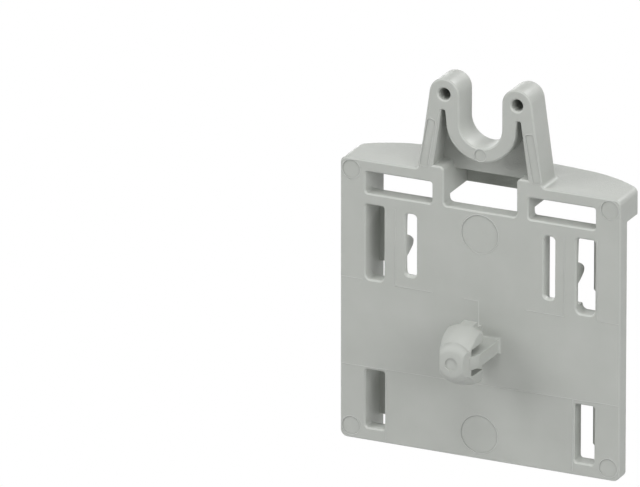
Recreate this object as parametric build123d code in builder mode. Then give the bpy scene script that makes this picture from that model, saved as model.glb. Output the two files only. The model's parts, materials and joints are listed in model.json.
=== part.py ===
from build123d import *
import os
from math import acos, atan2, cos, hypot, radians, sin, sqrt

# Terminal block mounting adapter, one moulded piece of PA66.
# Millimetres. The origin is on the back face of the plate, on the axis of the snap peg.
# X is across the plate, -Y is the front (the side the terminal block slides in), +Z is up.
os.makedirs("parts", exist_ok=True)

# Plate
plate_width = 30.0
plate_height = 29.3
plate_thickness = 1.6
peg_above_bottom = 12.2
bottom_corner_radius = 0.7
back_edge_chamfer = 0.15

# Side rails and the lips that hook over the block's foot
rail_from_edge = 1.25
rail_width = 1.45
rail_reach = 2.8
rail_edge_radius = 0.6
rail_inner_edge_radius = 0.15
lip_overhang = 1.65
lip_thickness = 1.0
upper_lip_from_top = 5.75
upper_lip_length = 5.85
lower_lip_from_bottom = 1.6
lower_lip_length = 4.7
lip_chamfer = 0.6

# Windows that the moulding cores for the lips leave in the plate
wide_window_width = 2.0
wide_window_from_top = 4.6
wide_window_length = 7.8
low_window_width = 2.1
low_window_from_bottom = 1.35
low_window_length = 6.1
window_radius = 0.3
window_lower_radius = 0.55

# Spring arms between the wide windows and the slots
arm_width = 2.3
arm_thickness = 0.55
slot_width = 1.2
slot_from_top = 4.9
slot_length = 6.5
slot_radius = 0.45
arm_recess_below_slot = 0.35
bump_from_top = 7.4
bump_half_height = 0.9
bump_reach = 2.25
bump_radius = 0.3

# Ledge across the top, bowed forward and cored out from behind
ledge_height = 2.7
ledge_reach_middle = 7.5
ledge_bow_from_edge = 6.0
ledge_bow_drop = 0.55
ledge_turn_from_edge = 2.8
ledge_turn_drop = 1.45
ledge_reach_end = 4.4
ledge_corner_radius = 1.2
ledge_edge_radius = 0.6
core_below_top = 1.2
core_height = 2.24
core_radius = 0.3
core_reach_inner = 6.0
core_reach_outer = 4.9
core_rib = 1.26
middle_half = 3.9
middle_core_below_top = 0.3
middle_core_slope = 1.0
middle_core_reach = 5.5
middle_corner_radius = 0.4

# Fork on the ledge
fork_reach = 3.5
fork_base_half = 6.64
fork_sunk = 1.0
horn_centre = 3.88
horn_height = 8.1
horn_radius = 1.6
notch_height = 5.35
notch_wall = 1.42
fork_edge_radius = 0.55
fork_root_radius = 0.4
pocket_reach = 2.5
pocket_floor = 0.55
pocket_floor_wall = 0.5
pocket_shoulder_radius = 0.45
leg_wall = 1.54
pocket_apex_height = 6.45
pocket_apex_centre = 4.04
pocket_apex_half = 0.2
pocket_apex_radius = 0.17
horn_hole_radius = 0.62
horn_hole_depth = 2.4

# Snap peg on the back: a web with a nose, and two wings that reach back from the nose
peg_length = 6.7
peg_tip_radius = 1.2
peg_shoulder_radius = 2.02
peg_shoulder_back = 0.85
peg_shoulder_middle = (0.28, 1.74)
peg_dome_radius = 3.1
peg_dome_bulge = 0.222
peg_dome_balance = 0.52
peg_rim_radius = 2.98
peg_rim_width = 0.4
peg_wing_back = 3.1
peg_wing_half = 1.78
peg_wing_taper = 0.07
peg_taper_back = 1.7
peg_taper_middle = (0.7, 1.52)
peg_edge_radius = 0.22
peg_wing_low = 1.4
peg_gap_back = 1.2
peg_web_width = 4.24
peg_web_thickness = 1.38
peg_web_straight_back = 2.3
peg_web_middle = (1.5, 1.91)
peg_web_end = (0.9, 1.62)
peg_root_radius = 0.3
peg_catch_width = 1.45
peg_catch_high = 2.95
peg_catch_back = 1.95
peg_catch_lean = 0.2
peg_step_high = 2.35
peg_step_back = 0.9
peg_step_lean = 0.15
peg_step_height = 0.45
peg_catch_radius = 0.12
peg_dimple_radius = 0.66
peg_dimple_depth = 0.12

# Shallow marks left by the mould
dial_x = -2.55
dial_from_top = 6.85
dial_radius = 2.0
dial_hub_radius = 0.95
dial_depth = 0.15
dial_hub_depth = 0.4
number_ring_x = 2.2
number_ring_from_top = 7.55
number_ring_radius = 1.05
number_ring_width = 0.16
panel_half = 5.6
panel_from_top = 9.7
panel_height = 2.15
plaque_half = 6.65
plaque_from_top = 14.25
plaque_height = 6.15
plaque_radius = 0.6
panel_depth = 0.06
gate_above_bottom = 4.9
gate_radius = 1.6
gate_depth = 0.15
gate_stub_radius = 0.7
gate_stub_depth = 0.1
gate_pit_radius = 0.2
gate_pit_depth = 0.3
pin_radius = 0.98
pin_depth = 0.06
pin_from_edge = 1.17
pin_from_top = 1.15
pin_from_bottom = 1.3
middle_pin_from_top = 5.8
middle_pin_from_bottom = 2.6
middle_pin_radius = 2.0
leg_mark_from_side = 0.99
leg_mark_height = 2.85
leg_mark_width = 0.95
leg_mark_length = 5.1
leg_mark_radius = 0.3
leg_mark_tilt = 10.3
notch_pin_height = 2.37
notch_pin_radius = 0.65

# Places that follow from these sizes
peg_shoulder_at = peg_length - peg_shoulder_back
peg_dome_at = peg_wing_back + peg_rim_width
peg_dome_middle = (
    peg_dome_at + peg_dome_balance * (peg_shoulder_at - peg_dome_at),
    peg_dome_radius + peg_dome_balance * (peg_shoulder_radius - peg_dome_radius) + peg_dome_bulge,
)
peg_taper_at = peg_length - peg_taper_back
peg_gap_end = peg_length - peg_gap_back
peg_web_straight = peg_length - peg_web_straight_back
peg_web_stop = peg_length - peg_web_end[0]
plate_bottom = -peg_above_bottom
plate_top = plate_height - peg_above_bottom
rail_outer = plate_width / 2 - rail_from_edge
rail_inner = rail_outer - rail_width
lip_inner = rail_inner - lip_overhang
wide_window_inner = rail_inner - wide_window_width
wide_window_high = plate_top - wide_window_from_top
wide_window_low = wide_window_high - wide_window_length
low_window_inner = rail_inner - low_window_width
low_window_low = plate_bottom + low_window_from_bottom
low_window_high = low_window_low + low_window_length
upper_lip_high = plate_top - upper_lip_from_top
upper_lip_low = upper_lip_high - upper_lip_length
lower_lip_low = plate_bottom + lower_lip_from_bottom
lower_lip_high = lower_lip_low + lower_lip_length
slot_outer = wide_window_inner - arm_width
slot_inner = slot_outer - slot_width
slot_high = plate_top - slot_from_top
slot_low = slot_high - slot_length
arm_recess_low = slot_low - arm_recess_below_slot
bump_start = plate_top - bump_from_top
bump_apex = bump_start - bump_half_height
bump_end = bump_apex - bump_half_height
ledge_bow_half = plate_width / 2 - ledge_bow_from_edge
ledge_turn_half = plate_width / 2 - ledge_turn_from_edge
core_high = plate_top - core_below_top
core_low = core_high - core_height
core_inner = middle_half + core_rib
middle_core_high = plate_top - middle_core_below_top
notch_radius = horn_centre - horn_radius
horn_z = plate_top + horn_height
notch_z = plate_top + notch_height
floor_z = plate_top + pocket_floor
apex_z = plate_top + pocket_apex_height
pocket_base_half = fork_base_half - leg_wall
dial_z = plate_top - dial_from_top
number_ring_z = plate_top - number_ring_from_top
panel_z = plate_top - panel_from_top - panel_height / 2
plaque_z = plate_top - plaque_from_top - plaque_height / 2
gate_z = plate_bottom + gate_above_bottom
pin_x = plate_width / 2 - pin_from_edge
leg_mark_x = fork_base_half - leg_mark_from_side

with BuildPart() as ledge:
    # Bowed slab with rounded end corners and a soft top edge
    bow_y = -(ledge_reach_middle - ledge_bow_drop)
    turn_y = -(ledge_reach_middle - ledge_turn_drop)
    with BuildSketch(Plane.XY.offset(plate_top - ledge_height)):
        with BuildLine():
            Line((-plate_width / 2, -ledge_reach_end), (-plate_width / 2, 0))
            Line((-plate_width / 2, 0), (plate_width / 2, 0))
            Line((plate_width / 2, 0), (plate_width / 2, -ledge_reach_end))
            ThreePointArc(
                (plate_width / 2, -ledge_reach_end),
                (ledge_turn_half, turn_y),
                (ledge_bow_half, bow_y),
            )
            ThreePointArc((ledge_bow_half, bow_y), (0, -ledge_reach_middle), (-ledge_bow_half, bow_y))
            ThreePointArc(
                (-ledge_bow_half, bow_y),
                (-ledge_turn_half, turn_y),
                (-plate_width / 2, -ledge_reach_end),
            )
        make_face()
    extrude(amount=ledge_height)
    end_corners = [
        edge for edge in ledge.edges().filter_by(Axis.Z)
        if abs(edge.center().Y + ledge_reach_end) < 0.01
    ]
    fillet(end_corners, ledge_corner_radius)
    front_top = [
        edge for edge in ledge.edges().group_by(Axis.Z)[-1]
        if edge.center().Y < -0.01
    ]
    fillet(front_top, ledge_edge_radius)

with BuildPart() as fork:
    # Two horns joined by a round notch, soft on the front edges
    reach = hypot(fork_base_half - horn_centre, horn_height)
    tangent = atan2(-horn_height, fork_base_half - horn_centre) + acos(horn_radius / reach)
    side_x = horn_centre + horn_radius * cos(tangent)
    side_z = horn_z + horn_radius * sin(tangent)
    crown_x = horn_centre + horn_radius * cos((tangent + radians(180)) / 2)
    crown_z = horn_z + horn_radius * sin((tangent + radians(180)) / 2)
    sunk_x = fork_base_half + fork_sunk * (fork_base_half - side_x) / (side_z - plate_top)
    with BuildSketch(Plane.XZ):
        with BuildLine():
            Line((sunk_x, plate_top - fork_sunk), (side_x, side_z))
            ThreePointArc((side_x, side_z), (crown_x, crown_z), (notch_radius, horn_z))
            Line((notch_radius, horn_z), (notch_radius, notch_z))
            ThreePointArc((notch_radius, notch_z), (0, notch_z - notch_radius), (-notch_radius, notch_z))
            Line((-notch_radius, notch_z), (-notch_radius, horn_z))
            ThreePointArc((-notch_radius, horn_z), (-crown_x, crown_z), (-side_x, side_z))
            Line((-side_x, side_z), (-sunk_x, plate_top - fork_sunk))
            Line((-sunk_x, plate_top - fork_sunk), (sunk_x, plate_top - fork_sunk))
        make_face()
    extrude(amount=fork_reach)
    soft_edges = [
        edge for edge in fork.edges().group_by(Axis.Y)[0]
        if edge.center().Z > plate_top - 0.9 * fork_sunk
    ]
    fillet(soft_edges, fork_edge_radius)

with BuildPart() as side_core:
    # What is cored out behind the ledge on one side
    with BuildSketch(Plane.XY.offset(core_low)):
        with BuildLine():
            Polyline(
                (core_inner, 0),
                (core_inner, -core_reach_inner),
                (rail_inner, -core_reach_outer),
                (rail_inner, 0),
                close=True,
            )
        make_face()
    extrude(amount=core_high - core_low)
    fillet(side_core.edges().filter_by(Axis.Y), core_radius)

with BuildPart() as nose:
    # Nose and wings turned about the peg's axis
    with BuildSketch(Plane.YZ):
        with BuildLine():
            Line((peg_wing_back, 0), (peg_wing_back, peg_rim_radius))
            Line((peg_wing_back, peg_rim_radius), (peg_dome_at, peg_dome_radius))
            ThreePointArc(
                (peg_dome_at, peg_dome_radius),
                peg_dome_middle,
                (peg_shoulder_at, peg_shoulder_radius),
            )
            ThreePointArc(
                (peg_shoulder_at, peg_shoulder_radius),
                (peg_length - peg_shoulder_middle[0], peg_shoulder_middle[1]),
                (peg_length, peg_tip_radius),
            )
            Line((peg_length, peg_tip_radius), (peg_length, 0))
            Line((peg_length, 0), (peg_wing_back, 0))
        make_face()
    revolve(axis=Axis.Y)
    # Flat sides that close in towards the tip
    with BuildSketch(Plane.XY):
        for side in (-1, 1):
            wing_side = (side * peg_wing_half, peg_wing_back)
            taper_start = (side * (peg_wing_half - peg_wing_taper), peg_taper_at)
            taper_end = (side * peg_tip_radius, peg_length)
            with BuildLine():
                Line(wing_side, taper_start)
                ThreePointArc(
                    taper_start,
                    (side * peg_taper_middle[1], peg_length - peg_taper_middle[0]),
                    taper_end,
                )
                Polyline(
                    taper_end,
                    (side * 2 * peg_dome_radius, peg_length),
                    (side * 2 * peg_dome_radius, peg_wing_back),
                    wing_side,
                )
            make_face()
    extrude(amount=2 * peg_dome_radius, both=True, mode=Mode.SUBTRACT)
    wing_edges = [
        edge for edge in nose.edges()
        if abs(edge.center().X) > peg_wing_half / 2
        and peg_wing_back + 0.1 < edge.center().Y < peg_length - 0.05
        and abs(edge.center().Z) > peg_wing_low
    ]
    fillet(wing_edges, peg_edge_radius)
    # Room for the web and the gaps, which leaves the two wings
    with Locations((0, (peg_gap_end + peg_wing_back) / 2, 0)):
        Box(3 * peg_wing_half, peg_gap_end - peg_wing_back, 2 * peg_wing_low, mode=Mode.SUBTRACT)
    # Sunken ring in the tip
    with Locations(Location((0, peg_length, 0), (-90, 0, 0))):
        Hole(peg_dimple_radius, depth=peg_dimple_depth)

with BuildPart() as peg:
    # Web, narrower where it runs into the nose
    with BuildSketch(Plane.XY):
        with BuildLine():
            Line((-peg_web_width / 2, 0), (peg_web_width / 2, 0))
            Line((peg_web_width / 2, 0), (peg_web_width / 2, peg_web_straight))
            ThreePointArc(
                (peg_web_width / 2, peg_web_straight),
                (peg_web_middle[1], peg_length - peg_web_middle[0]),
                (peg_web_end[1], peg_web_stop),
            )
            Line((peg_web_end[1], peg_web_stop), (-peg_web_end[1], peg_web_stop))
            ThreePointArc(
                (-peg_web_end[1], peg_web_stop),
                (-peg_web_middle[1], peg_length - peg_web_middle[0]),
                (-peg_web_width / 2, peg_web_straight),
            )
            Line((-peg_web_width / 2, peg_web_straight), (-peg_web_width / 2, 0))
        make_face()
    extrude(amount=peg_web_thickness / 2, both=True)
    add(nose.part)
    # Catches behind the wings, stepped where they hold the sheet
    for side in (-1, 1):
        with BuildSketch(Plane.YZ) as catch:
            with BuildLine():
                Polyline(
                    (peg_wing_back + peg_catch_width / 4, side * peg_catch_high),
                    (peg_catch_back, side * peg_catch_high),
                    (peg_catch_back - peg_catch_lean, side * peg_step_high),
                    (peg_step_back + peg_step_lean, side * peg_step_high),
                    (peg_step_back, side * (peg_step_high - peg_step_height)),
                    (peg_step_back, side * peg_wing_low),
                    (peg_wing_back + peg_catch_width / 4, side * peg_wing_low),
                    close=True,
                )
            make_face()
        extrude(amount=peg_catch_width / 2, both=True)
    step_end = peg_step_back + peg_step_lean
    catch_edges = [
        edge for edge in peg.edges().filter_by(Axis.X)
        if abs(abs(edge.center().Z) - peg_catch_high) < 0.01 and edge.center().Y < peg_catch_back + 0.01
        or abs(abs(edge.center().Z) - peg_step_high) < 0.01 and edge.center().Y < step_end + 0.01
    ]
    fillet(catch_edges, peg_catch_radius)

with BuildPart() as adapter_body:
    # Plate, up to the ledge
    with BuildSketch(Plane.XZ) as plate_face:
        with Locations((0, (plate_top - ledge_height + plate_bottom) / 2)):
            Rectangle(plate_width, plate_height - ledge_height)
        fillet(plate_face.vertices().group_by(Axis.Y)[0], bottom_corner_radius)
    extrude(amount=plate_thickness)

    # Rails, one on each side of the block's foot
    rail_top = plate_top - ledge_height / 2
    with BuildSketch(Plane.XY.offset(plate_bottom)):
        for side in (-1, 1):
            with Locations((side * (rail_inner + rail_outer) / 2, -plate_thickness - rail_reach / 2)):
                Rectangle(rail_outer - rail_inner, rail_reach)
    rails = extrude(amount=rail_top - plate_bottom)
    front_edges = adapter_body.edges().filter_by(Axis.Z).group_by(Axis.Y)[0]
    fillet([edge for edge in front_edges if abs(edge.center().X) > rail_outer - 0.01], rail_edge_radius)
    front_edges = adapter_body.edges().filter_by(Axis.Z).group_by(Axis.Y)[0]
    inner_edges = [edge for edge in front_edges if abs(edge.center().X) < rail_inner + 0.01]
    fillet(inner_edges, rail_inner_edge_radius)

    # Lips on the rails
    for high, low in ((upper_lip_high, upper_lip_low), (lower_lip_high, lower_lip_low)):
        for side in (-1, 1):
            with BuildSketch(Plane.XZ.offset(plate_thickness + rail_reach - lip_thickness)):
                with BuildLine():
                    Polyline(
                        (side * (rail_inner + 0.3), high),
                        (side * lip_inner, high),
                        (side * lip_inner, low + lip_chamfer),
                        (side * (lip_inner + lip_chamfer), low),
                        (side * (rail_inner + 0.3), low),
                        close=True,
                    )
                make_face()
            extrude(amount=lip_thickness)

    add(ledge.part)
    add(fork.part)
    fork_foot = [
        edge for edge in adapter_body.edges().filter_by(Axis.Y)
        if abs(edge.center().Z - plate_top) < 0.01 and abs(abs(edge.center().X) - fork_base_half) < 0.01
    ]
    fillet(fork_foot, fork_root_radius)

    # Wide windows, low windows and slots
    with BuildSketch(Plane.XZ) as wide_windows:
        for inner, high, low in (
            (wide_window_inner, wide_window_high, wide_window_low),
            (low_window_inner, low_window_high, low_window_low),
        ):
            for side in (-1, 1):
                with Locations((side * (inner + rail_inner) / 2, (high + low) / 2)):
                    Rectangle(rail_inner - inner, high - low)
        lower_corners = [v for v in wide_windows.vertices() if abs(v.Y - wide_window_low) < 0.01]
        fillet(lower_corners, window_lower_radius)
        sharp = [
            v for v in wide_windows.vertices()
            if abs(v.Y - wide_window_high) < 0.01 or v.Y < low_window_high + 0.01
        ]
        fillet(sharp, window_radius)
    extrude(amount=plate_thickness, mode=Mode.SUBTRACT)
    with BuildSketch(Plane.XZ) as slots:
        for side in (-1, 1):
            with Locations((side * (slot_inner + slot_outer) / 2, (slot_high + slot_low) / 2)):
                Rectangle(slot_outer - slot_inner, slot_high - slot_low)
        fillet(slots.vertices(), slot_radius)
    extrude(amount=plate_thickness, mode=Mode.SUBTRACT)

    # Spring arms, thinned from the front
    recess_middle = (slot_inner + wide_window_inner) / 2
    for side in (-1, 1):
        with BuildSketch(Plane.XZ.offset(arm_thickness)):
            with Locations((side * recess_middle, (slot_high + arm_recess_low) / 2)):
                Rectangle(wide_window_inner - slot_inner, slot_high - arm_recess_low)
        extrude(amount=plate_thickness, mode=Mode.SUBTRACT)

    # Latch bumps across the arms
    for start_x in (-wide_window_inner, slot_outer):
        with BuildSketch(Plane.YZ.offset(start_x)) as bump_face:
            with BuildLine():
                Polyline(
                    (-0.2, bump_start),
                    (-arm_thickness, bump_start),
                    (-bump_reach, bump_apex),
                    (-arm_thickness, bump_end),
                    (-0.2, bump_end),
                    close=True,
                )
            make_face()
            fillet(bump_face.vertices().group_by(Axis.X)[0], bump_radius)
        extrude(amount=wide_window_inner - slot_outer)

    # Side cores behind the ledge, open below
    add(side_core.part, mode=Mode.SUBTRACT)
    add(mirror(side_core.part, about=Plane.YZ), mode=Mode.SUBTRACT)

    # Middle core behind the ledge, its ceiling sloping down to the front
    with BuildSketch(Plane.YZ):
        with BuildLine():
            Polyline(
                (0, core_low),
                (0, floor_z + pocket_floor_wall),
                (-pocket_reach, floor_z + pocket_floor_wall),
                (-pocket_reach, middle_core_high),
                (-middle_core_reach, middle_core_high - middle_core_slope),
                (-middle_core_reach, core_low),
                close=True,
            )
        make_face()
    extrude(amount=middle_half, both=True, mode=Mode.SUBTRACT)
    middle_corners = [
        edge for edge in adapter_body.edges().filter_by(Axis.Y)
        if abs(edge.center().Z - core_low) < 0.01 and abs(abs(edge.center().X) - middle_half) < 0.01
    ]
    fillet(middle_corners, middle_corner_radius)

    # Pocket inside the fork, around the wall of the notch
    with BuildSketch(Plane.XZ) as pocket:
        with BuildLine():
            Polyline(
                (pocket_base_half, floor_z),
                (pocket_apex_centre + pocket_apex_half, apex_z),
                (-pocket_apex_centre - pocket_apex_half, apex_z),
                (-pocket_base_half, floor_z),
                close=True,
            )
        make_face()
        with Locations((0, notch_z)):
            Circle(notch_radius + notch_wall, mode=Mode.SUBTRACT)
        with BuildLine():
            Polyline(
                (notch_radius + notch_wall, notch_z),
                (pocket_apex_centre - pocket_apex_half, apex_z + 0.01),
                (-pocket_apex_centre + pocket_apex_half, apex_z + 0.01),
                (-notch_radius - notch_wall, notch_z),
                close=True,
            )
        make_face(mode=Mode.SUBTRACT)
        fillet(pocket.vertices().group_by(Axis.Y)[-1], pocket_apex_radius)
    extrude(amount=pocket_reach, mode=Mode.SUBTRACT)
    shoulders = [
        edge for edge in adapter_body.edges().filter_by(Axis.Y)
        if abs(edge.center().Z - floor_z) < 0.01 and abs(abs(edge.center().X) - middle_half) < 0.01
    ]
    fillet(shoulders, pocket_shoulder_radius)

    # Cored holes in the horns
    with BuildSketch(Plane.XZ):
        with Locations((horn_centre, horn_z), (-horn_centre, horn_z)):
            Circle(horn_hole_radius)
    extrude(amount=horn_hole_depth, mode=Mode.SUBTRACT)

    # Edges of the back face, very slightly broken
    rim = [
        edge for edge in adapter_body.edges()
        if edge.bounding_box().min.Y > -0.001 and edge.bounding_box().max.Y < 0.001
    ]
    chamfer(rim, back_edge_chamfer)

    # Snap peg, rounded at its root
    add(peg.part)
    root = [
        edge for edge in adapter_body.edges()
        if edge.bounding_box().min.Y > -0.001 and edge.bounding_box().max.Y < 0.001
        and max(abs(edge.center().X), abs(edge.center().Z)) < peg_web_width / 2 + 0.1
    ]
    fillet(root, peg_root_radius)

    # Date dial, sunk in the front face with its hub deeper, and a number well beside it
    for radius, depth in ((dial_radius, dial_depth), (dial_hub_radius, dial_hub_depth)):
        with BuildSketch(Plane.XZ.offset(plate_thickness - depth)):
            with Locations((dial_x, dial_z)):
                Circle(radius)
        extrude(amount=plate_thickness, mode=Mode.SUBTRACT)
    with BuildSketch(Plane.XZ.offset(plate_thickness - panel_depth)):
        with Locations((number_ring_x, number_ring_z)):
            Circle(number_ring_radius)
            Circle(number_ring_radius - number_ring_width, mode=Mode.SUBTRACT)
    extrude(amount=plate_thickness, mode=Mode.SUBTRACT)

    # Two bare panels, a hair below the front face
    with BuildSketch(Plane.XZ.offset(plate_thickness - panel_depth)):
        with Locations((0, panel_z)):
            Rectangle(2 * panel_half, panel_height)
        with Locations((0, plaque_z)):
            RectangleRounded(2 * plaque_half, plaque_height, plaque_radius)
    extrude(amount=plate_thickness, mode=Mode.SUBTRACT)

    # Gate dimple with the broken stub in it, torn out in the middle
    for outer, inner, depth in (
        (gate_radius, gate_stub_radius, gate_depth),
        (gate_stub_radius, gate_pit_radius, gate_stub_depth),
        (gate_pit_radius, 0, gate_pit_depth),
    ):
        with BuildSketch(Plane.XZ.offset(plate_thickness - depth)):
            with Locations((0, gate_z)):
                Circle(outer)
                if inner:
                    Circle(inner, mode=Mode.SUBTRACT)
        extrude(amount=plate_thickness, mode=Mode.SUBTRACT)

    # Ejector pin marks on the back face
    with BuildSketch(Plane.XZ) as pins:
        for side in (-1, 1):
            for height in (plate_top - pin_from_top, plate_bottom + pin_from_bottom):
                with Locations((side * pin_x, height)):
                    Circle(pin_radius)
            turn = side * leg_mark_tilt
            with Locations((side * leg_mark_x, plate_top + leg_mark_height)):
                RectangleRounded(leg_mark_width, leg_mark_length, leg_mark_radius, rotation=turn)
        with Locations((0, plate_top - middle_pin_from_top), (0, plate_bottom + middle_pin_from_bottom)):
            Circle(middle_pin_radius)
        with Locations((0, plate_top + notch_pin_height)):
            Circle(notch_pin_radius)
    extrude(amount=pin_depth, mode=Mode.SUBTRACT)

adapter_body.part.label = "adapter_body"
export_step(adapter_body.part, "parts/adapter_body.step")
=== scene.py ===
import json
import math

import bmesh
import bpy
from mathutils import Matrix, Vector

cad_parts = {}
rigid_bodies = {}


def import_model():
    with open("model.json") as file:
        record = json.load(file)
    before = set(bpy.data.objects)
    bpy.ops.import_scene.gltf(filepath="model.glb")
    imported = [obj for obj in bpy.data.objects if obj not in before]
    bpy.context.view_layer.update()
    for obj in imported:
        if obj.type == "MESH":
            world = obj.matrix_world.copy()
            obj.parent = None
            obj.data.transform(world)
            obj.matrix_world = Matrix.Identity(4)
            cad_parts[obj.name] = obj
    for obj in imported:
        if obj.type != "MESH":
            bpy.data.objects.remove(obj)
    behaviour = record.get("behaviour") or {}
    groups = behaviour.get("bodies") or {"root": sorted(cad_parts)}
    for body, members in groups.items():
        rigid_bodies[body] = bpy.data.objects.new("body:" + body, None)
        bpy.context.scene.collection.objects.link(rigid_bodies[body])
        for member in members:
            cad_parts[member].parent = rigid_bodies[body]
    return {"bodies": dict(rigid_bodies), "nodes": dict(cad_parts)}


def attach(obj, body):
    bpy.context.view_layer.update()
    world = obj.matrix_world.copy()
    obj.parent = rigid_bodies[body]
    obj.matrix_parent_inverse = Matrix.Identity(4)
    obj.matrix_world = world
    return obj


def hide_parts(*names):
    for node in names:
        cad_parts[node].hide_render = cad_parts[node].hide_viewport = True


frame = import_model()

mm = 0.001
body = sorted(frame["bodies"])[0]
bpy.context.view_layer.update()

# Heights that several pieces share, in mm from the peg's axis and the back face
plate = {
    "top": 17.1,
    "bottom": -12.2,
    "frontFace": -1.6,
    "dialFloor": -1.45,
    "hubFloor": -1.2,
}

# Stands a flat drawing up: its X stays, its Y becomes Z, and it faces -Y
standing = Matrix(((1, 0, 0, 0), (0, 0, -1, 0), (0, 1, 0, 0), (0, 0, 0, 1)))


def direction(azimuth, elevation):
    # Azimuth 0 is the front (-Y), 90 is +X
    around = math.radians(azimuth)
    above = math.radians(elevation)
    return Vector((
        math.sin(around) * math.cos(above),
        -math.cos(around) * math.cos(above),
        math.sin(above),
    ))


# The camera looks at the back from above, a little to the -X side
camera = {
    "azimuth": 205.0,
    "elevation": 20.5,
    "distance": 1600.0,  # mm
    "pixelsPerMm": 10.25,
    "target": (0.0, -0.4, 7.3),
    "targetPixel": (481.4, 271.4),  # where the target falls in the picture
    "picture": (640.0, 487.0),
    "sensor": 36.0,
    "clip": (0.01, 20.0),  # m
}


def placeCamera(settings):
    back = direction(settings["azimuth"], settings["elevation"])
    turn = math.radians(settings["azimuth"])
    right = Vector((math.cos(turn), math.sin(turn), 0.0))
    up = back.cross(right)
    width, height = settings["picture"]
    aside = (width / 2 - settings["targetPixel"][0]) / settings["pixelsPerMm"]
    above = (settings["targetPixel"][1] - height / 2) / settings["pixelsPerMm"]
    place = Vector(settings["target"]) + back * settings["distance"] + right * aside + up * above
    data = bpy.data.cameras.new("camera")
    data.sensor_width = settings["sensor"]
    data.lens = settings["pixelsPerMm"] * settings["distance"] * settings["sensor"] / width
    data.clip_start = settings["clip"][0]
    data.clip_end = settings["clip"][1]
    eye = bpy.data.objects.new("camera", data)
    eye.rotation_mode = "QUATERNION"
    eye.rotation_quaternion = back.to_track_quat("Z", "Y")
    eye.location = place * mm
    bpy.context.scene.collection.objects.link(eye)
    bpy.context.scene.camera = eye


placeCamera(camera)
print("camera placed")


def wire(tree, source, target):
    tree.links.new(source, target)


def rampStops(ramp, stops):
    while len(ramp.elements) > 1:
        ramp.elements.remove(ramp.elements[-1])
    ramp.elements[0].position = stops[0][0]
    ramp.elements[0].color = (*stops[0][1], 1.0)
    for place, colour in stops[1:]:
        ramp.elements.new(place).color = (*colour, 1.0)


mouldedGrey = {
    "colour": (0.452, 0.467, 0.440),
    "paler": (0.464, 0.478, 0.452),
    "darker": (0.440, 0.455, 0.428),
    # The edge colour is a painted highlight for the light lines along the rims
    "edge": (0.56, 0.575, 0.55),
    "roughness": (0.40, 0.56),
    "frontGrain": 1.0,
    "backGrain": 0.10,
}

# What all the plastic shares: scales are per metre, and depths are in metres
plasticDetail = {
    "cloudScale": 260.0,
    "cloudLayers": 4.0,
    "cloudStops": (0.3, 0.5, 0.7),
    "sheenScale": 1500.0,
    "sheenLayers": 3.0,
    "grainScale": 8500.0,
    "grainLayers": 2.0,
    "grainRoughness": 0.6,
    "grainDepth": 0.00004,
    "frontEnds": (-0.0014, -0.0002),  # m along Y, from full grain to the back's
    "refraction": 1.53,
    "gloss": 0.35,
    "letThrough": 0.15,
    "letThroughTint": (1.0, 1.0, 0.95),
    "letThroughDepth": 0.0005,
}


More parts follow.
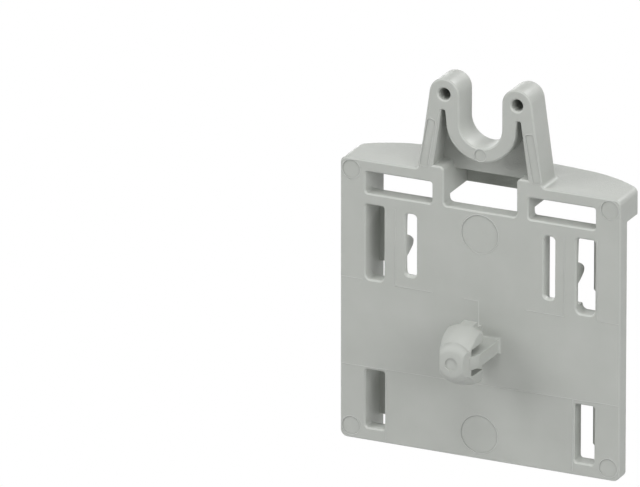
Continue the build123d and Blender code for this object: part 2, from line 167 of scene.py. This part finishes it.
def polyamide(name, settings):
    material = bpy.data.materials.new(name)
    material.use_nodes = True
    tree = material.node_tree
    nodes = tree.nodes
    shader = nodes["Principled BSDF"]
    detail = plasticDetail
    shader.inputs["IOR"].default_value = detail["refraction"]
    shader.inputs["Specular IOR Level"].default_value = detail["gloss"]
    # Polyamide lets a little light through, which lifts the narrow shadows
    shader.inputs["Subsurface Weight"].default_value = detail["letThrough"]
    shader.inputs["Subsurface Radius"].default_value = detail["letThroughTint"]
    shader.inputs["Subsurface Scale"].default_value = detail["letThroughDepth"]
    place = nodes.new("ShaderNodeTexCoord").outputs["Object"]

    # Faint clouds in the colour, a few millimetres across
    clouds = nodes.new("ShaderNodeTexNoise")
    clouds.inputs["Scale"].default_value = detail["cloudScale"]
    clouds.inputs["Detail"].default_value = detail["cloudLayers"]
    wire(tree, place, clouds.inputs["Vector"])
    tint = nodes.new("ShaderNodeValToRGB")
    tints = (settings["darker"], settings["colour"], settings["paler"])
    rampStops(tint.color_ramp, list(zip(detail["cloudStops"], tints)))
    wire(tree, clouds.outputs["Fac"], tint.inputs["Fac"])

    # Painted highlight: faces marked on the broken edges get a paler colour that stands in for
    # the light lines along the rims
    mark = nodes.new("ShaderNodeAttribute")
    mark.attribute_name = "paintedEdgeHighlight"
    blend = nodes.new("ShaderNodeMix")
    blend.data_type = "RGBA"
    wire(tree, mark.outputs["Fac"], blend.inputs["Factor"])
    wire(tree, tint.outputs["Color"], blend.inputs["A"])
    blend.inputs["B"].default_value = (*settings["edge"], 1.0)
    wire(tree, blend.outputs["Result"], shader.inputs["Base Color"])

    # Gloss varies with a finer cloud
    sheen = nodes.new("ShaderNodeTexNoise")
    sheen.inputs["Scale"].default_value = detail["sheenScale"]
    sheen.inputs["Detail"].default_value = detail["sheenLayers"]
    wire(tree, place, sheen.inputs["Vector"])
    gloss = nodes.new("ShaderNodeMapRange")
    gloss.inputs["To Min"].default_value = settings["roughness"][0]
    gloss.inputs["To Max"].default_value = settings["roughness"][1]
    wire(tree, sheen.outputs["Fac"], gloss.inputs["Value"])
    wire(tree, gloss.outputs["Result"], shader.inputs["Roughness"])

    # Spark-eroded grain, full in front and fainter behind
    split = nodes.new("ShaderNodeSeparateXYZ")
    wire(tree, place, split.inputs["Vector"])
    front = nodes.new("ShaderNodeMapRange")
    front.inputs["From Min"].default_value = detail["frontEnds"][0]
    front.inputs["From Max"].default_value = detail["frontEnds"][1]
    front.inputs["To Min"].default_value = settings["frontGrain"]
    front.inputs["To Max"].default_value = settings["backGrain"]
    wire(tree, split.outputs["Y"], front.inputs["Value"])
    grain = nodes.new("ShaderNodeTexNoise")
    grain.inputs["Scale"].default_value = detail["grainScale"]
    grain.inputs["Detail"].default_value = detail["grainLayers"]
    grain.inputs["Roughness"].default_value = detail["grainRoughness"]
    wire(tree, place, grain.inputs["Vector"])
    rough = nodes.new("ShaderNodeBump")
    rough.inputs["Distance"].default_value = detail["grainDepth"]
    wire(tree, front.outputs["Result"], rough.inputs["Strength"])
    wire(tree, grain.outputs["Fac"], rough.inputs["Height"])
    wire(tree, rough.outputs["Normal"], shader.inputs["Normal"])
    return material


greyPolyamide = polyamide("greyPolyamide", mouldedGrey)

tornWhite = {
    "colour": (0.84, 0.85, 0.82),
    "paler": (0.92, 0.92, 0.90),
    "darker": (0.62, 0.63, 0.60),
    # The edge colour is a painted highlight, used only where edges are marked
    "edge": (0.86, 0.86, 0.84),
    "roughness": (0.55, 0.75),
    "frontGrain": 0.6,
    "backGrain": 0.6,
}
whitenedPolyamide = polyamide("whitenedPolyamide", tornWhite)

# The flash left round pins and inserts gets a paler colour, partly because thin flash is whiter
# and partly as a painted highlight along the raised lines
flashAndHighlightGrey = {
    **mouldedGrey,
    "colour": (0.54, 0.555, 0.53),
    "paler": (0.56, 0.575, 0.55),
    "darker": (0.52, 0.535, 0.51),
}
flashAndHighlight = polyamide("flashAndHighlight", flashAndHighlightGrey)
print("materials made")


def keepPiece(piece, material):
    piece.data.materials.clear()
    piece.data.materials.append(material)
    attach(piece, body)


def newObject(name, data):
    piece = bpy.data.objects.new(name, data)
    bpy.context.scene.collection.objects.link(piece)
    return piece


def plainMesh(source, name):
    bpy.context.view_layer.update()
    graph = bpy.context.evaluated_depsgraph_get()
    mesh = bpy.data.meshes.new_from_object(source.evaluated_get(graph), depsgraph=graph)
    mesh.name = name
    return mesh


# In mm and degrees
moulding = {
    "mergeWithin": 0.0001,
    "creaseAngle": 26.0,
    "edgeBreak": 0.15,  # depth of the broken edges behind
    "edgeHighlightShare": 0.35,  # the share of the paler edge colour on them, a painted highlight
    "edgeFacing": (0.4, 0.95),  # how far a broken edge's face turns to the back
    "slack": 0.01,
    "flatWithin": 0.4,
    "roundFrom": 60.0,  # the least angle between two faces
    "roundOff": 0.07,
    "roundSteps": 2,
    "leastWidth": 3.0,  # of a face that is rounded, in roundings
    "normalWeight": 90,
}


def roundEdges(form, settings):
    # Only edges between faces that are wide enough, so shallow marks stay as they are
    least = settings["leastWidth"] * settings["roundOff"] * mm
    flat = math.radians(settings["flatWithin"])
    bmesh.ops.dissolve_limit(form, angle_limit=flat, verts=form.verts, edges=form.edges)
    form.faces.index_update()
    wide = [2.0 * face.calc_area() / max(face.calc_perimeter(), 1e-9) for face in form.faces]
    chosen = []
    for edge in form.edges:
        if len(edge.link_faces) != 2:
            continue
        if abs(edge.calc_face_angle(0.0)) < math.radians(settings["roundFrom"]):
            continue
        if min(wide[face.index] for face in edge.link_faces) > least:
            chosen.append(edge)
    print("edges rounded:", len(chosen))
    bmesh.ops.bevel(
        form, geom=chosen, offset=settings["roundOff"] * mm, segments=settings["roundSteps"],
        profile=0.5, affect="EDGES", clamp_overlap=False,
    )
    bmesh.ops.triangulate(form, faces=form.faces)
    # The triangles come in another order each time, so they are put in a fixed one
    form.verts.index_update()
    ranked = sorted(form.faces, key=lambda face: [vert.index for vert in face.verts])
    rank = {face: i for i, face in enumerate(ranked)}
    form.faces.sort(key=rank.get)
    # Where a new face has no width, its two sides lie on each other and close up
    bmesh.ops.dissolve_degenerate(form, dist=settings["mergeWithin"] * mm, edges=form.edges)


# The latch bumps get a blunter and taller nose than the solid's, in mm from the peg's axis
bumps = {
    "across": (7.8, 10.5),
    "behind": -0.45,
    "before": -2.4,
    "base": -0.55,  # the arm's front face
    "ridge": 8.8,
    "half": 0.9,
    "newRidge": 8.72,
    "peak": 1.7,  # where the solid's two slopes would meet, above the base
    "nose": 0.3,  # the solid's radius there
    "newHalf": 1.12,
    "newRise": 1.42,
    "roundness": 1.9,
    "fullest": 0.999,  # just short of 1, where the solid's bump has no depth
    "rows": 7,
    "slack": 1.15,  # how far past its half height a bump's points are looked for
    "sameLevel": 0.00001,
}


def bluntBumps(form, settings):
    inner, outer = settings["across"]
    tall = settings["slack"] * settings["half"]
    nose = settings["nose"]
    slope = math.atan(settings["half"] / settings["peak"])

    def inBump(vert):
        x, y, z = vert.co / mm
        inside = inner < abs(x) < outer and settings["before"] < y < settings["behind"]
        return inside and abs(z - settings["ridge"]) < tall

    rows = settings["rows"]
    for i in range(-rows + 1, rows):
        # fromkeys drops repeats and keeps the order
        faces = [face for face in form.faces if all(inBump(vert) for vert in face.verts)]
        edges = list(dict.fromkeys(edge for face in faces for edge in face.edges))
        verts = list(dict.fromkeys(vert for face in faces for vert in face.verts))
        level = settings["ridge"] + i * settings["half"] / rows
        bmesh.ops.bisect_plane(
            form, geom=verts + edges + faces, dist=settings["sameLevel"] * mm,
            plane_co=(0.0, 0.0, level * mm), plane_no=(0.0, 0.0, 1.0),
        )
    for vert in form.verts:
        if not inBump(vert):
            continue
        off = vert.co.z / mm - settings["ridge"]
        part = off / settings["half"]
        fall = min(abs(part), settings["fullest"])
        if abs(off) < nose * math.cos(slope):
            was = settings["peak"] - nose / math.sin(slope) + math.sqrt(nose ** 2 - off ** 2)
        else:
            was = settings["peak"] * (1.0 - fall)
        swell = settings["newRise"] * (1.0 - fall ** settings["roundness"]) / was
        depth = vert.co.y / mm - settings["base"]
        if depth < 0.0:
            vert.co.y = (settings["base"] + depth * swell) * mm
        vert.co.z = (settings["newRidge"] + part * settings["newHalf"]) * mm


def makeMoulding(settings):
    source = frame["nodes"]["adapter_body"]
    mesh = source.data.copy()
    form = bmesh.new()
    form.from_mesh(mesh)
    bmesh.ops.remove_doubles(form, verts=form.verts, dist=settings["mergeWithin"] * mm)
    roundEdges(form, settings)
    bluntBumps(form, bumps)
    # Painted highlight: the narrow faces of the broken edges behind are marked for the paler edge
    # colour
    highlightLayer = form.faces.layers.float.new("paintedEdgeHighlight")
    deep = (settings["edgeBreak"] + settings["slack"]) * mm
    least, most = settings["edgeFacing"]
    for face in form.faces:
        levels = [v.co.y for v in face.verts]
        behind = -deep < min(levels) and max(levels) < settings["slack"] * mm
        if behind and least < face.normal.y < most:
            face[highlightLayer] = settings["edgeHighlightShare"]
    crease = math.radians(settings["creaseAngle"])
    for face in form.faces:
        face.smooth = True
    for edge in form.edges:
        if len(edge.link_faces) == 2:
            edge.smooth = edge.calc_face_angle(0.0) < crease
        else:
            edge.smooth = False
    form.to_mesh(mesh)
    form.free()
    piece = newObject("mouldedBody", mesh)
    weigh = piece.modifiers.new("evenNormals", "WEIGHTED_NORMAL")
    weigh.mode = "FACE_AREA"
    weigh.keep_sharp = True
    weigh.weight = settings["normalWeight"]
    settled = plainMesh(piece, "mouldedBody")
    piece.modifiers.clear()
    piece.data = settled
    bpy.data.meshes.remove(mesh)
    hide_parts("adapter_body")
    keepPiece(piece, greyPolyamide)


makeMoulding(moulding)
print("moulded body made")


dial = {
    "centre": (-2.55, 10.25),
    "turn": -52.0,  # degrees, clockwise from upright
    "numbers": 12,
    "numberRadius": 1.5,
    "numberHeight": 0.62,
    "numberRise": 0.2,
    "arrowTurn": -24.0,
    "arrowLength": 1.62,
    "shaftWidth": 0.24,
    "headWidth": 0.62,
    "headLength": 0.5,
    "arrowRise": 0.32,
    "arrowSunk": 0.05,
    "arrowRounding": 0.04,
    "arrowSteps": 2,
    "year": "8",
    "yearHeight": 0.72,
    "yearRise": 0.12,
    "yearAside": 0.52,
}

lettering = {
    "capitalShare": 0.72,  # the height of a digit, as a share of the font's size
    "bevel": 0.02,
    "bevelShare": 0.25,  # the most of the rise that the bevel may take
    "bevelSteps": 1,
    "curveSteps": 4,
    "joinWithin": 0.000001,  # m
}


def raisedText(word, height, rise):
    curve = bpy.data.curves.new("digits", "FONT")
    curve.body = word
    curve.align_x = "CENTER"
    curve.align_y = "CENTER"
    curve.size = height / lettering["capitalShare"]
    curve.extrude = rise / 2
    curve.bevel_depth = min(lettering["bevel"], rise * lettering["bevelShare"])
    curve.bevel_resolution = lettering["bevelSteps"]
    curve.resolution_u = lettering["curveSteps"]
    holder = newObject("digits", curve)
    mesh = plainMesh(holder, "digits")
    bpy.data.objects.remove(holder)
    bpy.data.curves.remove(curve)
    xs = [v.co.x for v in mesh.vertices]
    ys = [v.co.y for v in mesh.vertices]
    middle = Vector(((min(xs) + max(xs)) / 2, (min(ys) + max(ys)) / 2, 0.0))
    mesh.transform(Matrix.Translation(-middle))
    return mesh


def onFront(x, z, depth, turn):
    lean = Matrix.Rotation(math.radians(-turn), 4, "Z")
    return Matrix.Scale(mm, 4) @ Matrix.Translation((x, depth, z)) @ standing @ lean


def joinMeshes(name, parts):
    form = bmesh.new()
    for mesh in parts:
        form.from_mesh(mesh)
        bpy.data.meshes.remove(mesh)
    bmesh.ops.remove_doubles(form, verts=form.verts, dist=lettering["joinWithin"])
    bmesh.ops.recalc_face_normals(form, faces=form.faces)
    joined = bpy.data.meshes.new(name)
    form.to_mesh(joined)
    form.free()
    return joined


def makeDialNumbers(settings):
    parts = []
    centreX, centreZ = settings["centre"]
    for number in range(1, settings["numbers"] + 1):
        clock = number * 360.0 / settings["numbers"] + settings["turn"]
        x = centreX + settings["numberRadius"] * math.sin(math.radians(clock))
        z = centreZ + settings["numberRadius"] * math.cos(math.radians(clock))
        mesh = raisedText(str(number), settings["numberHeight"], settings["numberRise"])
        mesh.transform(onFront(x, z, plate["dialFloor"], clock))
        parts.append(mesh)
    keepPiece(newObject("dialNumbers", joinMeshes("dialNumbers", parts)), greyPolyamide)


def makeDialArrow(settings):
    half = settings["shaftWidth"] / 2
    wide = settings["headWidth"] / 2
    end = settings["arrowLength"] / 2
    neck = end - settings["headLength"]
    outline = [
        (-half, -end), (half, -end), (half, neck), (wide, neck),
        (0.0, end), (-wide, neck), (-half, neck),
    ]
    form = bmesh.new()
    sunk = settings["arrowSunk"]
    low = [form.verts.new((x, y, -sunk)) for x, y in outline]
    face = form.faces.new(low)
    lifted = bmesh.ops.extrude_face_region(form, geom=[face])
    top = [v for v in lifted["geom"] if isinstance(v, bmesh.types.BMVert)]
    bmesh.ops.translate(form, verts=top, vec=(0.0, 0.0, settings["arrowRise"] + sunk))
    bmesh.ops.recalc_face_normals(form, faces=form.faces)
    rims = [e for e in form.edges if all(v in top for v in e.verts)]
    bmesh.ops.bevel(
        form, geom=rims, offset=settings["arrowRounding"], segments=settings["arrowSteps"],
        affect="EDGES", clamp_overlap=True,
    )
    mesh = bpy.data.meshes.new("dialArrow")
    form.to_mesh(mesh)
    form.free()
    centreX, centreZ = settings["centre"]
    mesh.transform(onFront(centreX, centreZ, plate["hubFloor"], settings["arrowTurn"]))
    year = raisedText(settings["year"], settings["yearHeight"], settings["yearRise"])
    lean = math.radians(settings["arrowTurn"])
    x = centreX + settings["yearAside"] * math.cos(lean)
    z = centreZ - settings["yearAside"] * math.sin(lean)
    year.transform(onFront(x, z, plate["hubFloor"], settings["arrowTurn"]))
    keepPiece(newObject("dialArrow", joinMeshes("dialArrow", [mesh, year])), greyPolyamide)


makeDialNumbers(dial)
makeDialArrow(dial)
print("dial marks made")


well = {"centre": (2.2, 9.55), "digit": "4", "digitHeight": 1.4, "rise": 0.16}


def makeWellNumber(settings):
    mesh = raisedText(settings["digit"], settings["digitHeight"], settings["rise"])
    mesh.transform(onFront(*settings["centre"], plate["frontFace"], 0.0))
    keepPiece(newObject("wellNumber", joinMeshes("wellNumber", [mesh])), greyPolyamide)


makeWellNumber(well)
print("well number made")


gate = {
    "centre": (0.0, -7.3),
    "innerRadius": 0.2,
    "outerRadius": 0.78,
    "stubFace": -1.5,
    "rise": 0.14,
    "rings": 14,
    "spokes": 64,
    "innerSunk": 0.2,
    "outerSunk": 0.06,
    "dome": 0.7,  # the lower, the flatter the middle of the scar
    "least": 0.65,  # the part of the rise that the tears leave alone
    "ragged": 0.5,  # the part that they change
    "between": 0.5,  # the tears swing about this
    # Waves round the scar, as (how many, how high, where the first starts)
    "tears": ((3, 0.22, 1.1), (7, 0.16, 0.4), (13, 0.1, 0.0)),
    "outOfRound": (5, 0.02, 2.0),
}


def makeGateScar(settings):
    form = bmesh.new()
    centreX, centreZ = settings["centre"]
    lobes, swell, lobeStart = settings["outOfRound"]
    rows = []
    for i in range(settings["rings"] + 1):
        t = i / settings["rings"]
        radius = settings["innerRadius"] + t * (settings["outerRadius"] - settings["innerRadius"])
        row = []
        for j in range(settings["spokes"]):
            angle = 2 * math.pi * j / settings["spokes"]
            ragged = settings["between"]
            for waves, swing, start in settings["tears"]:
                ragged += swing * math.sin(waves * angle + start)
            dome = settings["rise"] * math.sin(math.pi * t) ** settings["dome"]
            height = dome * (settings["least"] + settings["ragged"] * ragged)
            reach = radius * (1 + swell * math.sin(lobes * angle + lobeStart))
            x = centreX + reach * math.cos(angle)
            z = centreZ + reach * math.sin(angle)
            sunk = 0.0
            if i == 0:
                sunk = settings["innerSunk"]
            elif i == settings["rings"]:
                sunk = settings["outerSunk"]
            y = settings["stubFace"] - height + sunk
            row.append(form.verts.new((x * mm, y * mm, z * mm)))
        rows.append(row)
    for lower, upper in zip(rows, rows[1:]):
        for j in range(settings["spokes"]):
            k = (j + 1) % settings["spokes"]
            form.faces.new((lower[j], lower[k], upper[k], upper[j]))
    for k in range(settings["spokes"]):
        j = (k + 1) % settings["spokes"]
        form.faces.new((rows[0][j], rows[0][k], rows[-1][k], rows[-1][j]))
    for face in form.faces:
        face.smooth = True
    bmesh.ops.recalc_face_normals(form, faces=form.faces)
    mesh = bpy.data.meshes.new("gateScar")
    form.to_mesh(mesh)
    form.free()
    keepPiece(newObject("gateScar", mesh), whitenedPolyamide)


makeGateScar(gate)
print("gate scar made")


# Fine lines that the mould's inserts leave on the back, as (x, below the top) in mm
witness = {
    "width": 0.09,
    "rise": 0.015,
    "lines": [
        [(9.07, 12.6), (5.0, 12.65)],
        [(-5.0, 12.9), (-9.03, 12.95)],
        [(9.08, 4.6), (9.08, 12.6)],
        [(-9.03, 4.7), (-9.03, 12.9)],
        [(-12.55, 4.55), (-12.55, 12.8), (-14.85, 12.85)],
        [(12.55, 12.45), (14.85, 12.45)],
        [(10.06, 21.6), (10.06, 28.9)],
        [(-10.02, 21.4), (-10.02, 28.9)],
        [(1.65, 12.74), (0.09, 12.78), (0.09, 16.2)],
        [(14.85, 21.6), (12.4, 21.56)],
        [(12.4, 21.56), (-12.4, 21.36)],
        [(-12.4, 21.36), (-14.85, 21.34)],
    ],
    # Round pins, as (x, below the top, radius)
    "pins": [
        (13.83, 1.15, 0.98), (-13.83, 1.15, 0.98), (13.83, 28.0, 0.98), (-13.83, 28.0, 0.98),
        (0.0, 5.8, 2.0), (0.0, 26.7, 2.0), (0.0, -2.37, 0.65),
    ],
    # Flat pins in the horns, as (x, below the top, width, length, corner, lean)
    "blades": [(5.65, -2.85, 0.95, 5.1, 0.3, 10.3), (-5.65, -2.85, 0.95, 5.1, 0.3, -10.3)],
    "ringSteps": 48,
    "cornerSteps": 5,
}


def circlePoints(x, z, radius, start, sweep, steps):
    turns = [math.radians(start + sweep * i / steps) for i in range(steps + 1)]
    return [(x + radius * math.cos(turn), z + radius * math.sin(turn)) for turn in turns]


def bladePoints(x, z, width, length, corner, lean, steps):
    outline = []
    for i, (sideX, sideZ) in enumerate(((1, 1), (-1, 1), (-1, -1), (1, -1))):
        middle = (sideX * (width / 2 - corner), sideZ * (length / 2 - corner))
        outline += circlePoints(*middle, corner, 90.0 * i, 90.0, steps)
    across, along = math.cos(math.radians(lean)), math.sin(math.radians(lean))
    return [(x + px * across - pz * along, z + px * along + pz * across) for px, pz in outline]


def lineTree():
    tree = bpy.data.node_groups.new("witnessLines", "GeometryNodeTree")
    face = tree.interface
    face.new_socket("Geometry", in_out="INPUT", socket_type="NodeSocketGeometry")
    face.new_socket("Width", in_out="INPUT", socket_type="NodeSocketFloat")
    face.new_socket("Rise", in_out="INPUT", socket_type="NodeSocketFloat")
    face.new_socket("Geometry", in_out="OUTPUT", socket_type="NodeSocketGeometry")
    entry = tree.nodes.new("NodeGroupInput")
    leave = tree.nodes.new("NodeGroupOutput")
    path = tree.nodes.new("GeometryNodeMeshToCurve")
    profile = tree.nodes.new("GeometryNodeCurvePrimitiveQuadrilateral")
    sweep = tree.nodes.new("GeometryNodeCurveToMesh")
    sweep.inputs["Fill Caps"].default_value = True
    upright = tree.nodes.new("GeometryNodeSetCurveNormal")
    upright.mode = "Z_UP"
    realize = tree.nodes.new("GeometryNodeRealizeInstances")
    finish = tree.nodes.new("GeometryNodeSetMaterial")
    finish.inputs["Material"].default_value = flashAndHighlight
    wire(tree, entry.outputs["Geometry"], path.inputs["Mesh"])
    wire(tree, entry.outputs["Width"], profile.inputs["Width"])
    wire(tree, entry.outputs["Rise"], profile.inputs["Height"])
    wire(tree, path.outputs["Curve"], upright.inputs["Curve"])
    wire(tree, upright.outputs["Curve"], sweep.inputs["Curve"])
    wire(tree, profile.outputs["Curve"], sweep.inputs["Profile Curve"])
    wire(tree, sweep.outputs["Mesh"], realize.inputs["Geometry"])
    wire(tree, realize.outputs["Geometry"], finish.inputs["Geometry"])
    wire(tree, finish.outputs["Geometry"], leave.inputs["Geometry"])
    return tree


def setInput(modifier, tree, name, value):
    for item in tree.interface.items_tree:
        if item.item_type == "SOCKET" and item.in_out == "INPUT" and item.name == name:
            modifier[item.identifier] = value


def makeWitnessLines(settings):
    # Laid out flat in X and Y, then stood up on the back face
    points, edges = [], []
    top = plate["top"]
    for line in settings["lines"]:
        for i, (x, drop) in enumerate(line):
            if i:
                edges.append((len(points) - 1, len(points)))
            points.append((x * mm, (top - drop) * mm, 0.0))
    rings = []
    for x, drop, radius in settings["pins"]:
        rings.append(circlePoints(x, top - drop, radius, 0.0, 360.0, settings["ringSteps"])[:-1])
    for x, drop, *shape in settings["blades"]:
        rings.append(bladePoints(x, top - drop, *shape, settings["cornerSteps"]))
    for ring in rings:
        first = len(points)
        points += [(x * mm, z * mm, 0.0) for x, z in ring]
        edges += [(first + i, first + (i + 1) % len(ring)) for i in range(len(ring))]
    mesh = bpy.data.meshes.new("witnessPaths")
    mesh.from_pydata(points, edges, [])
    holder = newObject("witnessPaths", mesh)
    tree = lineTree()
    modifier = holder.modifiers.new("witnessLines", "NODES")
    modifier.node_group = tree
    setInput(modifier, tree, "Width", settings["width"] * mm)
    setInput(modifier, tree, "Rise", 2 * settings["rise"] * mm)
    result = plainMesh(holder, "witnessLines")
    bpy.data.objects.remove(holder)
    result.transform(standing)
    form = bmesh.new()
    form.from_mesh(result)
    bmesh.ops.recalc_face_normals(form, faces=form.faces)
    form.to_mesh(result)
    form.free()
    keepPiece(newObject("witnessLines", result), flashAndHighlight)


makeWitnessLines(witness)
print("witness lines made")


plainWhite = (1.0, 1.0, 1.0, 1.0)

studio = {
    "floorBelow": 60.0,  # mm under the plate's foot
    "floorSize": 4000.0,
    "worldLight": 0.10,
    "floorGrey": 0.6,
    "floorRoughness": 0.9,
    "lampDistance": 0.6,  # m
    # Soft lamps all round, three behind and two in front: azimuth, elevation, size in m, power
    "lamps": {
        "keyBehind": (200.0, 65.0, 0.35, 1.45),
        "keyRight": (130.0, 30.0, 0.35, 1.7),
        "keyLeft": (240.0, 25.0, 0.35, 1.7),
        "keyFront": (350.0, 30.0, 0.15, 1.4),
        "keyFrontLow": (35.0, -5.0, 0.35, 1.3),
    },
}


def paleStage(name, grey, roughness):
    material = bpy.data.materials.new(name)
    material.use_nodes = True
    shader = material.node_tree.nodes["Principled BSDF"]
    shader.inputs["Base Color"].default_value = (grey, grey, grey, 1.0)
    shader.inputs["Roughness"].default_value = roughness
    return material


def seenRays(tree):
    # Camera, glossy and transmission rays meet plain white, and the others meet the real surface
    paths = tree.nodes.new("ShaderNodeLightPath")
    seen = paths.outputs["Is Camera Ray"]
    for name in ("Is Glossy Ray", "Is Transmission Ray"):
        either = tree.nodes.new("ShaderNodeMath")
        either.operation = "MAXIMUM"
        wire(tree, seen, either.inputs[0])
        wire(tree, paths.outputs[name], either.inputs[1])
        seen = either.outputs["Value"]
    return seen


def makeFloor(settings):
    half = settings["floorSize"] / 2 * mm
    low = (plate["bottom"] - settings["floorBelow"]) * mm
    mesh = bpy.data.meshes.new("floor")
    corners = [(-half, -half, low), (half, -half, low), (half, half, low), (-half, half, low)]
    mesh.from_pydata(corners, [], [(0, 1, 2, 3)])
    floor = newObject("floor", mesh)
    material = paleStage("paleFloor", settings["floorGrey"], settings["floorRoughness"])
    tree = material.node_tree
    nodes = tree.nodes
    glow = nodes.new("ShaderNodeEmission")
    glow.inputs["Color"].default_value = plainWhite
    glow.inputs["Strength"].default_value = 1.0
    mix = nodes.new("ShaderNodeMixShader")
    wire(tree, seenRays(tree), mix.inputs["Fac"])
    wire(tree, nodes["Principled BSDF"].outputs["BSDF"], mix.inputs[1])
    wire(tree, glow.outputs["Emission"], mix.inputs[2])
    wire(tree, mix.outputs["Shader"], nodes["Material Output"].inputs["Surface"])
    mesh.materials.append(material)


def makeWorld(settings):
    world = bpy.data.worlds.new("studio")
    bpy.context.scene.world = world
    world.use_nodes = True
    tree = world.node_tree
    nodes = tree.nodes
    soft = nodes["Background"]
    soft.inputs["Color"].default_value = plainWhite
    soft.inputs["Strength"].default_value = settings["worldLight"]
    white = nodes.new("ShaderNodeBackground")
    white.inputs["Color"].default_value = plainWhite
    white.inputs["Strength"].default_value = 1.0
    mix = nodes.new("ShaderNodeMixShader")
    wire(tree, seenRays(tree), mix.inputs["Fac"])
    wire(tree, soft.outputs["Background"], mix.inputs[1])
    wire(tree, white.outputs["Background"], mix.inputs[2])
    wire(tree, mix.outputs["Shader"], nodes["World Output"].inputs["Surface"])


def softbox(name, azimuth, elevation, distance, size, power):
    way = direction(azimuth, elevation)
    data = bpy.data.lights.new(name, "AREA")
    data.shape = "SQUARE"
    data.size = size
    data.energy = power
    lamp = bpy.data.objects.new(name, data)
    lamp.rotation_mode = "QUATERNION"
    lamp.rotation_quaternion = way.to_track_quat("Z", "Y")
    lamp.location = way * distance
    bpy.context.scene.collection.objects.link(lamp)


makeFloor(studio)
makeWorld(studio)
for name, (azimuth, elevation, size, power) in studio["lamps"].items():
    softbox(name, azimuth, elevation, studio["lampDistance"], size, power)
print("stage and light made")

bpy.context.scene.view_settings.view_transform = "Standard"
